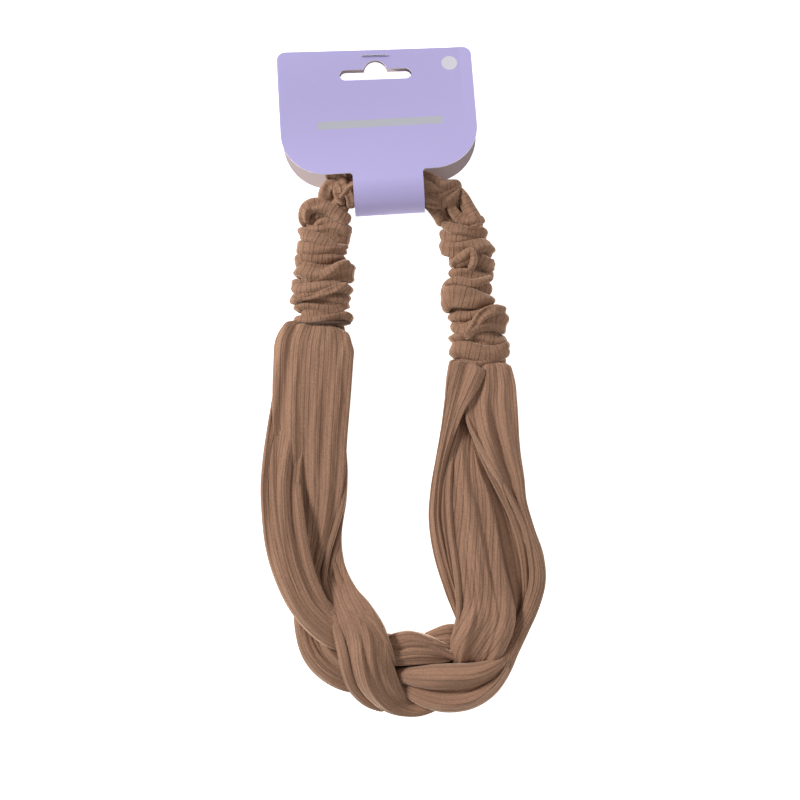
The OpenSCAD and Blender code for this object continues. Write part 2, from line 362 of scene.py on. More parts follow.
def board(name, base, printed=False):
    """Coated card. A printed one has a plain grey bar and a pale dot."""
    material, tree, shader = nodes_of(name)
    place = add(tree, "ShaderNodeTexCoord").outputs["Object"]
    fibre = noise(tree, 900, 4, place)
    cloud = noise(tree, 18, 2, place)
    tint = mix(tree, "MULTIPLY", 0.06, base, ramp(tree, cloud, [(0.3, 0.8), (0.7, 1.0)]))
    tint = mix(tree, "MULTIPLY", 0.05, tint, ramp(tree, fibre, [(0.3, 0.6), (0.7, 1.0)]))
    if printed:
        card_map = add(tree, "ShaderNodeUVMap", uv_map=CLOTH_MAP)
        split = add(tree, "ShaderNodeSeparateXYZ")
        tree.links.new(card_map.outputs[0], split.inputs[0])
        x, t = split.outputs[0], split.outputs[1]
        # A rounded bar: the distance outside an inner box, less the corner radius
        out_x = math_node(tree, "MAXIMUM", math_node(tree, "SUBTRACT", math_node(
            tree, "ABSOLUTE", math_node(tree, "SUBTRACT", x, BAR_X)),
            BAR_L / 2 - BAR_CORNER), 0.0)
        out_t = math_node(tree, "MAXIMUM", math_node(tree, "SUBTRACT", math_node(
            tree, "ABSOLUTE", math_node(tree, "SUBTRACT", t, BAR_T)),
            BAR_H / 2 - BAR_CORNER), 0.0)
        far = math_node(tree, "SQRT", math_node(
            tree, "ADD", math_node(tree, "POWER", out_x, 2.0),
            math_node(tree, "POWER", out_t, 2.0)))
        bar = math_node(tree, "LESS_THAN", far, BAR_CORNER)
        tint = mix(tree, "MIX", bar, tint, BAR_COLOUR)
        away = math_node(tree, "SQRT", math_node(
            tree, "ADD",
            math_node(tree, "POWER", math_node(tree, "SUBTRACT", x, DOT_X), 2.0),
            math_node(tree, "POWER", math_node(tree, "SUBTRACT", t, DOT_T), 2.0)))
        tint = mix(tree, "MIX", math_node(tree, "LESS_THAN", away, DOT_D / 2), tint, DOT_COLOUR)
    tree.links.new(tint, shader.inputs["Base Color"])
    tree.links.new(bump(tree, fibre, 0.12, 0.00008), shader.inputs["Normal"])
    tree.links.new(ramp(tree, cloud, [(0.0, 0.42), (1.0, 0.55)]), shader.inputs["Roughness"])
    shader.inputs["Specular IOR Level"].default_value = 0.4
    return material


def wire_steel(name):
    material, tree, shader = nodes_of(name)
    grain = noise(tree, 1800, 2, add(tree, "ShaderNodeTexCoord").outputs["Object"])
    tint = ramp(tree, grain, [(0.0, (0.62, 0.62, 0.64)), (1.0, (0.8, 0.8, 0.82))])
    tree.links.new(tint, shader.inputs["Base Color"])
    tree.links.new(ramp(tree, grain, [(0.0, 0.18), (1.0, 0.36)]), shader.inputs["Roughness"])
    shader.inputs["Metallic"].default_value = 1
    return material


def woven_elastic(name):
    material, tree, shader = nodes_of(name)
    cloth_map = add(tree, "ShaderNodeUVMap", uv_map=CLOTH_MAP)
    split = add(tree, "ShaderNodeSeparateXYZ")
    tree.links.new(cloth_map.outputs[0], split.inputs[0])
    rubber = wave(tree, split.outputs[0], 1.1)
    weft = wave(tree, split.outputs[1], 0.8)
    weave = math_node(tree, "MULTIPLY", rubber, weft)
    tint = ramp(tree, weave, [(0.0, (0.62, 0.6, 0.56)), (1.0, (0.82, 0.8, 0.76))])
    tree.links.new(tint, shader.inputs["Base Color"])
    tree.links.new(bump(tree, weave, 0.6, 0.0003), shader.inputs["Normal"])
    shader.inputs["Roughness"].default_value = 0.8
    return material


def sewing_thread(name, base):
    material, tree, shader = nodes_of(name)
    twist = noise(tree, 1500, 2, add(tree, "ShaderNodeTexCoord").outputs["Object"])
    tint = mix(tree, "MULTIPLY", 0.4, base, ramp(tree, twist, [(0.3, 0.5), (0.7, 1.0)]))
    tree.links.new(tint, shader.inputs["Base Color"])
    tree.links.new(bump(tree, twist, 0.5, 0.0002), shader.inputs["Normal"])
    shader.inputs["Roughness"].default_value = 0.7
    return material


# ---------------------------------------------------------------- the three strands

# Each row is x, y, z, width, height and tilt. A strand starts at the left seam, and
# its extra folds lie on it or beside it.
FRONT_STRAND = [
    (-42, 25.4, 4.4, 12, 4), (-44.2, 19.4, 4.4, 18, 4), (-46.2, 12, 4.4, 20, 4),
    (-47.6, 2, 4.6, 19, 4, 3), (-49.8, -10, 5.2, 17.6, 4, 6), (-52, -24, 6.8, 17.6, 4.4, 8),
    (-53.8, -38, 9, 17.4, 5, 8), (-54.4, -52, 10, 17.2, 6, 7), (-52.4, -72, 11, 17.2, 7.2, 8),
    (-48, -87.4, 12, 16.4, 8, 8), (-41.4, -99.8, 12.4, 16, 8.4, 6),
    (-31.4, -109.2, 11.6, 16.6, 8.4, 4),
    (-20, -114.6, 9.4, 15, 8), (-10.5, -118.8, 8.6, 14, 7.6), (-3, -119.4, 9.6, 13.6, 8),
    (4, -118.6, 10, 14.4, 8.4), (10.5, -119.2, 9.4, 12.4, 7.6), (17, -120.6, 7.6, 9, 6),
    (24, -120.4, 4.6, 7, 4.6), (31.6, -116.6, 3.2, 11, 4.4), (38.6, -108, 3.2, 17, 4.4),
    (41.5, -97, 3.2, 22, 4.4), (40.6, -84, 3.4, 26, 4.4), (37.6, -70, 3.6, 26, 4.4),
    (34, -56, 3.6, 24, 4.4), (30, -38, 3.6, 22, 4.4), (29.6, -20, 3.8, 22, 4.4),
    (32, -4, 4.2, 25, 4.6), (33.2, 6, 4.8, 23, 4.6),
]
FRONT_RIDGE = [
    (-56, -8, 5, 3.4, 2), (-57, -24, 8, 4, 2.4), (-57, -44, 11.4, 4.6, 2.6),
    (-54.8, -66, 13.6, 4.8, 2.8), (-50.4, -84, 15, 4.8, 3), (-44.4, -99, 15.4, 4.8, 3),
    (-35.6, -110.8, 13.8, 4.6, 3), (-25.6, -117, 11, 4, 2.8),
]
FRONT_INNER_RIDGE = [
    (-48, -32, 7, 3, 2.4), (-47.4, -44, 9.6, 4, 3), (-45.8, -58, 11.4, 4.4, 3.4),
    (-43.4, -74, 12.6, 4.4, 3.6), (-39.6, -88, 14, 4.4, 3.6), (-33.6, -99.4, 14.4, 4.2, 3.4),
    (-26.4, -106.6, 12.4, 4, 3),
]
FRONT_LEFT_LAYER = [
    (28.4, -114, 3.4, 4, 3), (25.6, -105, 4, 5.5, 3.4), (21.8, -93, 4.6, 7.4, 3.8),
    (17.2, -77, 5, 8, 4), (14.5, -62, 5.4, 6.8, 4), (14.8, -48, 6.4, 5.6, 4),
    (16.6, -36, 7.8, 5.2, 4.2), (19.6, -23, 9.6, 6.8, 4.6), (22.6, -11.6, 11.4, 10, 5),
    (25.8, -2, 12, 15, 5), (29, 7.6, 11.4, 18, 5),
]
FRONT_S2_ROLL = [
    (-8, -115.4, 10.6, 4, 4), (-2, -113.4, 12.6, 4.6, 4.4), (3.6, -113, 13.2, 5, 4.6),
    (9.6, -115, 12.4, 4.6, 4.4), (15.4, -119, 11, 4, 3.8), (22.6, -122.6, 9, 3.2, 3.2),
    (29.6, -125.4, 7.4, 2.6, 2.8),
]
FRONT_S2_UNDER = [
    (-9, -124.4, 4.6, 12, 5), (4, -125, 4.8, 14, 5), (16, -125.2, 4.6, 16, 5),
    (27, -123.6, 4, 19, 5), (34, -120.6, 3.6, 20, 4.6),
]
FRONT_CORNER = [
    (8, -115.4, 6, 4, 3.4), (13.6, -113.6, 7.2, 6, 4.4), (19.6, -112.4, 8, 8.4, 4.8),
    (26, -113, 7, 9, 4.4),
]

MIDDLE_STRAND = [
    (-37.6, 25.4, 8, 25, 5), (-38.4, 21, 7.8, 30.4, 5), (-39.4, 15, 7.8, 35.2, 5),
    (-39.9, 8, 7.8, 35.4, 5), (-40.6, -6, 7.6, 34.8, 5), (-41.2, -24, 7.4, 33, 5),
    (-41.2, -40, 7.2, 31, 4.8), (-41, -52, 6.8, 27.6, 4.4), (-41.4, -66, 6.2, 22, 4.2),
    (-42.4, -77, 5.6, 16, 4), (-43.4, -88, 4.8, 12, 3.8), (-43.8, -100, 4, 10.5, 4),
    (-43.2, -110.4, 4.2, 10.5, 5), (-40, -120, 4.6, 12, 6), (-34.4, -127, 4.8, 12.6, 6.8),
    (-26.6, -131.6, 5, 12.6, 7), (-18, -133.4, 5, 12, 6.6), (-9, -133, 5.4, 11, 6.4),
    (-2, -133, 6.4, 10, 6), (5, -134.6, 8, 12.5, 7), (14, -136.6, 8.4, 16, 8),
    (24, -136.4, 8.4, 17, 8.4), (33.6, -133, 8.4, 15.5, 8), (41.4, -127, 8, 12.5, 7.6),
    (46.6, -119.4, 8, 9, 7.4), (51.8, -110, 7, 7.8, 6.4), (56.8, -100, 6.6, 7, 6),
    (59.8, -89, 6.6, 6.4, 5.8), (58.7, -78, 6.6, 6.6, 5.4), (54.9, -67.4, 7, 6.8, 5),
    (50.2, -54.6, 8, 8.6, 4.8), (47.4, -44, 9, 12, 4.6), (43.4, -33, 9.8, 17, 4.8),
    (40.2, -22, 10.2, 21.5, 5), (38.6, -11, 10.4, 23, 5), (39, -3, 10.2, 21, 5),
    (38.4, 7.6, 9.6, 17, 5),
]
MIDDLE_PALE_EDGE = [
    (-25.6, -30, 6, 2, 2), (-25.8, -44, 6, 2.4, 2.4), (-27.2, -55, 6.2, 2.6, 2.6),
    (-30.2, -66, 6.4, 2.8, 2.8), (-33.4, -77, 6.6, 2.8, 2.8), (-35, -88, 7.2, 2.8, 2.8),
    (-34.4, -97.5, 8, 2.4, 2.6),
]
MIDDLE_SECOND_EDGE = [
    (-26.8, -60, 4.6, 2, 2), (-29, -71, 5, 2.4, 2.4), (-31.4, -81, 5.4, 2.6, 2.6),
    (-32.2, -91, 6.6, 2.6, 2.6), (-30, -98.6, 8.4, 2.2, 2.4),
]
MIDDLE_S4_INNER = [
    (-36.4, -113.4, 6, 5, 3.6), (-31.4, -119.8, 7.4, 8.5, 4.8), (-25.6, -124.6, 7.6, 11, 5.4),
    (-18, -128, 7, 10, 5),
]
MIDDLE_S3_UPPER = [
    (-4, -130, 8.4, 4, 4), (3, -130.4, 11.6, 7.6, 6), (11, -130.6, 13.6, 10.4, 7),
    (20, -130.4, 14.2, 11, 7.4), (29, -130, 13.6, 10.6, 7), (37, -127.8, 12.2, 8.4, 6),
    (44, -123.6, 9.8, 5.4, 5), (48.4, -117, 8, 4, 4),
]
MIDDLE_S3_LOWER = [
    (-1, -135.4, 7.4, 4, 4), (5, -138.4, 9.6, 7.4, 6), (12, -140.6, 11, 9.4, 7),
    (20, -141.6, 11.6, 10, 7.6), (29, -140.2, 11.4, 10, 7.4), (37, -135.8, 10.6, 9.4, 6.6),
    (43.4, -129.2, 9.2, 7, 5.8), (48.6, -119.6, 8, 5.4, 5),
]
MIDDLE_HOOD_EDGE = [
    (26.6, -9.6, 11.4, 2, 2.4), (29.4, -21, 11.6, 2.6, 3), (36, -33, 11.2, 2.8, 3.2),
    (42.8, -44.4, 10.6, 2.8, 3.2), (48.8, -55, 9.8, 2.8, 3.2), (53.4, -65, 8.8, 2.8, 3.2),
    (56, -77, 8.4, 2.8, 3.4), (56.8, -89, 8.4, 2.8, 3.4), (53.8, -101, 8, 3, 3.4),
    (48.6, -112.4, 7.8, 3, 3.2),
]
MIDDLE_BOTTOM_FOLD = [
    (-4, -142.4, 7, 4, 4), (4, -145, 6.4, 6, 5), (11, -144.8, 6.4, 6, 5), (17, -141.4, 7, 4, 4),
]

REAR_STRAND = [
    (-36, 26.4, 3.4, 20, 4.4), (-37, 6, 3, 22, 4), (-35, -22, 3, 18, 4),
    (-31.4, -40, 3.2, 13, 3.6), (-31.6, -53, 3.2, 12.6, 3.4), (-34, -67, 3.4, 13.4, 3.4),
    (-35, -79, 4, 16.4, 3.6), (-32, -88, 5.6, 15.5, 4.4), (-27, -96.6, 9.6, 15.5, 6.4),
    (-22, -103.6, 13.2, 18, 8.6), (-17.2, -113, 14.6, 20, 9.8),
    (-15, -122, 14.6, 19, 10), (-11.8, -131, 13, 18, 9.6), (-7, -138.6, 10.4, 14.5, 8.6),
    (-1, -143.6, 7.4, 10, 7), (7, -145.6, 5.4, 7, 5.4), (15, -143.4, 4, 6, 5),
    (23, -138.6, 3.2, 7, 4.8), (28, -132.6, 3.4, 12, 4.8), (30.4, -126.4, 5.4, 18, 5.4),
    (31.6, -120.4, 9.6, 23.5, 6), (34.2, -112.6, 11.6, 25.4, 6.4), (36.4, -104.4, 11.6, 26, 6),
    (36.2, -97, 10, 24, 5), (34.4, -87, 9.4, 22, 5), (32.2, -75, 9.2, 21.4, 5),
    (30.6, -62, 9, 20.4, 4.8), (28.6, -50, 8.6, 17.6, 4.6), (27, -40, 7.8, 13.6, 4.2),
    (26.8, -28, 6.6, 9.5, 3.6), (29, -14, 6.4, 9, 3.6), (32.4, -3, 6.6, 17, 4),
    (33.4, 7.4, 6.8, 22, 4.2),
]
REAR_S1_ROLL = [
    (-31.6, -100.6, 13, 3, 3), (-29, -109.6, 15.6, 4.2, 4.4), (-26.8, -118, 17, 4.8, 5),
    (-25, -127, 16, 4.8, 5), (-22, -135.4, 13, 4.8, 5),
    (-16, -142.2, 9.8, 4.4, 4.4), (-8, -146.2, 7, 3.4, 3.4),
]
REAR_S1_LOBE = [
    (-29.4, -98, 12, 3, 3), (-22, -101.2, 14.6, 5, 4.4), (-15, -105.8, 16.2, 6.6, 5.4),
    (-10.4, -112, 16.4, 6.4, 5.4), (-7.4, -118.6, 15.4, 5.4, 5), (-5.2, -126.4, 13, 4.4, 4.4),
]
REAR_TURN = [
    (-35.4, -98.6, 9.6, 3, 2.6), (-31, -98.2, 10.8, 3.6, 3), (-26, -99, 11.6, 3.6, 3),
    (-21, -101, 12, 3, 2.6),
]
REAR_INNER_FOLD = [
    (-31, -79, 5.4, 2.4, 2.4), (-29.4, -86, 7, 3.2, 2.6), (-26.4, -92, 9, 3.4, 2.8),
    (-21.6, -98, 11, 3, 2.8),
]
REAR_C_EDGE = [
    (24, -24, 6.4, 2, 2.4), (20.8, -38, 8.2, 2.6, 3), (19.9, -52, 9.6, 2.8, 3.2),
    (20.6, -66, 10.4, 2.8, 3.4), (22.6, -80, 10.6, 2.8, 3.4), (24, -92, 11, 2.8, 3.4),
    (24.2, -104, 12, 2.6, 3.2), (22.6, -114, 11.4, 2.4, 3),
]
REAR_C_LEFT_PLEAT = [
    (25.6, -12, 6.4, 2, 2.4), (24.4, -23, 6.8, 3, 3), (21.2, -34, 7, 4, 3.4),
    (19.2, -46, 6.8, 4.6, 3.4), (19, -60, 6.4, 5, 3.4), (20.6, -74, 6, 5, 3.4),
    (23.4, -89, 5.8, 4.6, 3.4), (26, -102, 6, 4, 3),
]
REAR_C_INNER_PLEAT = [
    (27.6, -20, 7, 3, 2.6, 8), (31.4, -32, 7, 5, 3, 8), (37.4, -46, 6, 7, 3.4, 10),
    (42.6, -60, 5.2, 9, 3.8, 12), (46, -74, 4.8, 10, 3.8, 12), (48.6, -87, 4.8, 10, 3.8, 12),
    (50.4, -98, 4.8, 8, 3.6, 12), (48.8, -109, 5, 6, 3.4, 8), (45, -118, 5.2, 4.4, 3, 8),
]
REAR_C_OUTER_PLEAT = [
    (29.6, -17, 7.8, 2.6, 2.6, 10), (34.6, -31, 8, 4.4, 3, 12), (42, -45, 7.4, 6.4, 3.2, 14),
    (48.6, -57, 6.8, 7.4, 3.4, 16), (53, -69, 6.4, 7.4, 3.6, 16), (55, -81, 6, 6.6, 3.6, 16),
    (55.4, -93, 6, 5.6, 3.4, 16), (53.6, -104, 5.8, 4.6, 3.2, 12), (49.8, -114, 5.6, 3.6, 3, 10),
]


def front_strand(fabric):
    cloth = Cloth()
    sweep(cloth, FRONT_STRAND, 3.4, wide=50, relief=folds(
        3, creases=[(-0.5, -0.3, 0.1, 0.5, 0.9), (0.0, 0.2, 0.12, 0.45, -0.8),
                    (0.0, -0.2, 0.45, 0.62, 1.2), (0.6, 0.3, 0.45, 0.62, -0.9)]))
    sweep(cloth, FRONT_RIDGE, 2.2, taper=22, relief=folds(5, soft=0.15), wide=12)
    sweep(cloth, FRONT_INNER_RIDGE, 2.2, taper=22, relief=folds(6, soft=0.15), wide=12)
    sweep(cloth, FRONT_LEFT_LAYER, 3.0, wide=34, relief=folds(
        8, creases=[(0.1, 0.3, 0.05, 0.8, 0.8), (-0.5, -0.2, 0.3, 0.95, 0.6)]))
    sweep(cloth, FRONT_S2_ROLL, 2.2, relief=folds(9, soft=0.2), wide=16)
    sweep(cloth, FRONT_S2_UNDER, 2.6, relief=folds(11, soft=0.3), wide=24)
    sweep(cloth, FRONT_CORNER, 2.6, relief=folds(12, soft=0.3), wide=20)
    return cloth.make("front_strand_cloth", fabric)


def middle_strand(fabric):
    cloth = Cloth()
    sweep(cloth, MIDDLE_STRAND, 3.6, wide=68, relief=folds(
        21, creases=[(0.3, 0.5, 0.47, 0.62, 1.3), (-0.35, 0.1, 0.45, 0.66, 1.0),
                     (-0.2, -0.5, 0.34, 0.47, 1.0), (0.4, 0.2, 0.34, 0.47, -0.9),
                     (0.3, 0.5, 0.84, 1.0, 0.5), (-0.3, -0.1, 0.8, 0.97, -0.8)]))
    sweep(cloth, MIDDLE_PALE_EDGE, 2.2, taper=22, relief=folds(22, soft=0.1), wide=8)
    sweep(cloth, MIDDLE_SECOND_EDGE, 2.2, taper=22, relief=folds(28, soft=0.1), wide=8)
    sweep(cloth, MIDDLE_S4_INNER, 2.6, relief=folds(
        23, creases=[(-0.1, 0.2, 0.1, 0.9, 0.8)]), wide=26)
    sweep(cloth, MIDDLE_S3_UPPER, 2.6, relief=folds(
        25, creases=[(-0.3, 0.2, 0.1, 0.9, 0.8)]), wide=24)
    sweep(cloth, MIDDLE_S3_LOWER, 2.6, relief=folds(
        29, creases=[(0.3, -0.2, 0.1, 0.9, 0.8)]), wide=24)
    sweep(cloth, MIDDLE_HOOD_EDGE, 2.2, taper=22, relief=folds(26, soft=0.1), wide=9)
    sweep(cloth, MIDDLE_BOTTOM_FOLD, 2.2, relief=folds(27, soft=0.2), wide=16)
    return cloth.make("middle_strand_cloth", fabric)


def rear_strand(fabric):
    cloth = Cloth()
    sweep(cloth, REAR_STRAND, 3.2, wide=56, twist=0.25, relief=folds(
        31, creases=[(-0.6, 0.2, 0.36, 0.50, 1.3), (-0.1, 0.6, 0.36, 0.50, 1.2),
                     (0.3, 0.8, 0.38, 0.48, -0.8), (-0.3, -0.2, 0.66, 0.95, 0.7),
                     (0.45, 0.2, 0.6, 0.85, -0.8), (-0.6, -0.4, 0.6, 0.8, 0.7)]))
    sweep(cloth, REAR_S1_ROLL, 2.2, relief=folds(33, soft=0.2), wide=14)
    sweep(cloth, REAR_S1_LOBE, 2.6, wide=28, relief=folds(
        34, creases=[(-0.2, 0.3, 0.1, 0.9, 1.0)]))
    sweep(cloth, REAR_TURN, 2.4, relief=folds(35, soft=0.2), wide=10)
    sweep(cloth, REAR_C_EDGE, 2.2, taper=22, relief=folds(32, soft=0.15), wide=9)
    for i, route in enumerate((REAR_INNER_FOLD, REAR_C_LEFT_PLEAT, REAR_C_INNER_PLEAT,
                               REAR_C_OUTER_PLEAT)):
        sweep(cloth, route, 2.6, wide=18, taper=16, relief=folds(
            36 + i, soft=0.25, creases=[(-0.1, 0.2, 0.1, 0.9, 0.5)]))
    return cloth.make("rear_strand_cloth", fabric)


# ---------------------------------------------------------------- the ruched casing

GATHER = 1.9         # cloth gathered into each mm along the casing
ROLL_T = 5.4         # how thick the cloth of a gather is
ROLL_LOW = 0.8       # how far a gather's underside is from the table
CORE_ROUND = 56      # way round the tube under the gathers

# The tube under the gathers, as x, y, z, width and height
CORE_LEFT = [(-35.8, 25.4, 7, 19, 8), (-36.2, 38, 6.8, 19, 8), (-35.8, 50, 6.4, 18.5, 7.6),
             (-35, 60, 6.6, 17.5, 7.6), (-34.2, 68.6, 7.4, 17, 8)]
CORE_RIGHT = [(33.4, 5.6, 7, 19, 8), (33.4, 13, 6.8, 19, 8), (33, 20, 6.6, 18, 7.6),
              (31.4, 27, 6.6, 17, 7.6), (28.6, 35, 6.6, 16, 7.6), (28.6, 43, 6.6, 14.5, 7.6),
              (29, 51, 6.6, 15, 7.6), (27.4, 61.6, 7, 16, 7.6)]
CORE_TOP = [(-34.2, 68.6, 6.4, 17, 8), (-32.6, 73, 6.8, 15, 8), (-29.4, 77.6, 8, 12, 9),
            (-26, 81.4, 9.6, 11, 11), (-21, 83.8, 11, 13, 13.5), (-13, 84, 11.1, 15.5, 15.5),
            (-6.5, 84, 11.1, 15.5, 15.5), (4.5, 84, 11.1, 15.5, 15.5), (11, 83, 11, 15, 14),
            (17.5, 79.4, 9, 12, 8.6), (22.6, 73.6, 7, 12, 7), (25.4, 67.6, 7, 14, 7.4),
            (27.4, 61.6, 7, 16, 7.6)]

# Gathers that go all the way round. A row gives the Y of its middle at the left and the
# right edge, the X of those two edges, its width at each and how high its top is.
LEFT_ROLLS = [
    (26.6, 26.9, -48.4, -22.2, 3.8, 4.2, 11.8), (31.2, 32.0, -48.4, -23.4, 4.4, 4.0, 12.2),
    (36.4, 36.4, -50.4, -23.4, 5.0, 4.0, 13.4), (40.8, 39.8, -50.2, -22.6, 5.8, 5.4, 14.4),
    (47.6, 46.6, -48.0, -21.4, 8.0, 9.0, 13.6), (53.0, 53.0, -48.2, -25.6, 7.0, 5.4, 12.4),
    (58.4, 55.8, -47.6, -25.0, 6.8, 3.4, 13.2), (64.0, 58.0, -46.8, -24.6, 6.0, 3.6, 13.4),
    (66.4, 64.2, -44.0, -23.2, 4.0, 10.0, 11.2),
]
RIGHT_ROLLS = [
    (7.2, 7.2, 20.6, 46.4, 3.8, 3.8, 12.2), (12.4, 12.2, 20.2, 47.2, 7.6, 7.6, 13.4),
    (18.8, 17.8, 20.6, 45.4, 5.6, 4.6, 12.4), (22.6, 25.2, 20.8, 46.2, 4.6, 10.0, 14.4),
    (27.2, 31.0, 20.0, 43.6, 5.6, 4.0, 12.6), (36.8, 34.2, 16.4, 40.2, 13.0, 6.4, 14.8),
    (42.4, 39.6, 18.4, 39.4, 5.0, 6.4, 12.4), (46.6, 45.6, 19.6, 39.6, 4.8, 5.4, 12.6),
    (52.4, 51.4, 19.8, 40.4, 6.6, 6.4, 13.4), (58.2, 57.4, 15.6, 40.0, 7.6, 6.6, 13.8),
]
TOP_ROLLS = [(63.4, 63.2, 15.8, 37.2, 6.4, 6.0, 12.8)]

# Single folds that cross the others, as x, y, z, width and height
LEFT_FOLDS = [
    [(-49, 36.8, 10, 2.6, 2.6), (-43, 36, 12.4, 3, 3), (-36, 37.6, 13.4, 3.2, 3),
     (-29, 40, 13.2, 3.4, 3), (-24.6, 41.6, 11.4, 3, 3)],
    [(-40, 44, 11.8, 3, 2.6), (-33.6, 46.4, 13.2, 4.4, 3.4), (-27.6, 49.4, 13, 5, 3.8),
     (-23, 50.4, 10.4, 5, 4)],
]
RIGHT_FOLDS = [
    [(45, 29.6, 9, 4.6, 4), (40.4, 30.4, 12.6, 5, 4.4), (34.6, 28, 13.8, 5, 4.2),
     (30.6, 22.6, 13, 4.6, 4), (27.6, 17.6, 11.6, 4, 3.6)],
    [(18, 41.6, 9.6, 3, 3.4), (23, 43.4, 12.4, 3.6, 3.6), (29.6, 42, 13.2, 3.6, 3.6),
     (36, 43.6, 11.8, 3.4, 3.4), (39, 45, 9, 3, 3)],
    [(21, 50, 10, 3.6, 3.6), (25.4, 53.6, 12.8, 4, 3.8), (29.4, 55.6, 13.8, 4, 3.6),
     (30.6, 51.6, 13.6, 3.6, 3.4), (29, 47.4, 12, 3.2, 3.2)],
]
TOP_FOLDS = [
    [(-42.6, 65.6, 4.6, 5, 5), (-41, 69.6, 6, 8, 6.4), (-36, 71.4, 7, 9.4, 7),
     (-29, 69.4, 7.4, 9, 6.4), (-24.6, 68, 7, 6, 5)],
    [(-42.6, 68, 5.6, 4, 5), (-43.8, 71, 8, 5.4, 6.4), (-42.4, 75, 10, 6.6, 7),
     (-38, 76.6, 10.8, 6.8, 6.8), (-32.6, 74.8, 11.1, 6.4, 6.4), (-27.4, 71.8, 11.1, 5.8, 6.2),
     (-23.4, 69.4, 9.6, 5, 5)],
    [(-40.6, 66.2, 7, 3.4, 4), (-36, 69, 9.6, 4, 4.4), (-31, 68, 10.6, 4.2, 4.6),
     (-26.4, 65.6, 10.4, 4, 4.4), (-23.6, 64.2, 8.4, 3.6, 4)],
    [(-33.6, 76, 8, 6.4, 5), (-34.4, 81, 10.8, 6.6, 6), (-32.4, 84.6, 13, 5.8, 5.6),
     (-29.2, 84, 14.4, 4.8, 5), (-28.4, 80.4, 14, 4.4, 4.6), (-25.6, 77, 12.4, 4, 4.4)],
    [(-33, 88, 8.6, 4, 4.4), (-31.4, 90.2, 12, 4.6, 4.8), (-28.2, 88.2, 14.6, 4.6, 4.8),
     (-25.4, 83.8, 15.4, 4.6, 4.6), (-23, 79, 14.4, 4.4, 4.4), (-23.2, 75, 11.6, 4, 4)],
    [(-25, 91.4, 11, 3.6, 4.4), (-22, 88.6, 13.6, 4.6, 5), (-20, 83, 14.4, 5, 5)],
    [(2, 85.4, 13.4, 12, 6), (9, 85, 14, 12, 6), (15, 83.2, 13.6, 10.5, 5.6),
     (21, 84.2, 11.4, 7.6, 5), (25.4, 85.6, 8.8, 5, 4.6)],
    [(4, 80.4, 14, 6, 5), (10, 78.8, 13.6, 6.6, 5), (15.6, 78, 12.6, 6.6, 5),
     (20.4, 79.4, 12.4, 6.4, 5), (24.4, 83, 9.6, 4.6, 4.4)],
    [(3, 77.6, 10, 4.4, 4.4), (9.8, 77.4, 10.6, 4.4, 4.4), (14.8, 72.6, 10, 5, 5),
     (17.4, 67.6, 8.6, 4.6, 5)],
    [(23.4, 84.2, 8.4, 4, 4.4), (26.2, 79.8, 10.4, 5.6, 5), (28.6, 74.8, 11, 6.4, 5.4),
     (30.8, 69.6, 11, 8, 5.6), (31.2, 65.4, 9.4, 8, 5.4)],
    [(21.6, 80, 10.6, 3, 3.4), (21.4, 74.6, 11.8, 4.4, 4.2), (25.4, 70.4, 12, 5, 4.2),
     (31, 69.6, 11.8, 4.6, 4.2), (35.6, 70.6, 9, 4, 4)],
    [(17, 69, 8.6, 3.6, 4), (21, 66.4, 11.6, 4.4, 4.2), (26.4, 65.4, 12.6, 4.4, 4.2),
     (31, 64.4, 11.6, 4, 4)],
]


def gathers(cloth, rolls, seed):
    """Rings of gathered cloth round an arm."""
    turn = np.linspace(0, 2 * np.pi, 20, endpoint=False)
    for k, (y_left, y_right, x_left, x_right, w_left, w_right, top) in enumerate(rolls):
        ring = []
        for a in turn:
            right = (1 + math.cos(a)) / 2
            y = y_left + (y_right - y_left) * right
            y += 0.8 * math.sin(2 * a + 2.1 * k) + 0.5 * math.sin(3 * a + 1.3 * k)
            x = (x_left + x_right) / 2 + (x_right - x_left - ROLL_T) / 2 * math.cos(a)
            low = ROLL_LOW + ROLL_T / 2
            z = (low + top - ROLL_T / 2) / 2 + (top - ROLL_T / 2 - low) / 2 * math.sin(a)
            ring.append((x, y, z, w_left + (w_right - w_left) * right, ROLL_T))
        sweep(cloth, ring, 2.3, spacing=0.7, cell=0.5, loop=True, side=(0, 1, 0), turned=True,
              wide=2.2 * (w_left + w_right) * GATHER / 2,
              relief=folds(seed + k, soft=0.4, gap=7, reach=16, rib=0, bead=0))


def single_folds(cloth, rows, seed):
    for k, fold in enumerate(rows):
        sweep(cloth, fold, 2.2, spacing=0.6, cell=0.5, wide=16, turned=True, taper=2.4,
              relief=folds(seed + k, soft=0.4, gap=5, reach=12, rib=0, bead=0))


def left_arm(fabric):
    cloth = Cloth()
    sweep(cloth, CORE_LEFT, 2.4, wide=CORE_ROUND, taper=1)
    gathers(cloth, LEFT_ROLLS, 41)
    single_folds(cloth, LEFT_FOLDS, 141)
    return cloth.make("left_arm_casing", fabric)


def right_arm(fabric):
    cloth = Cloth()
    sweep(cloth, CORE_RIGHT, 2.4, wide=CORE_ROUND, taper=1)
    gathers(cloth, RIGHT_ROLLS, 61)
    single_folds(cloth, RIGHT_FOLDS, 161)
    return cloth.make("right_arm_casing", fabric)


def top_casing(fabric):
    cloth = Cloth()
    sweep(cloth, CORE_TOP, 2.3, wide=CORE_ROUND, taper=1,
          relief=folds(80, soft=0.6, gap=6, reach=14, rib=0, bead=0))
    gathers(cloth, TOP_ROLLS, 81)
    single_folds(cloth, TOP_FOLDS, 181)
    return cloth.make("top_casing", fabric)


# ---------------------------------------------------------------- the hang card

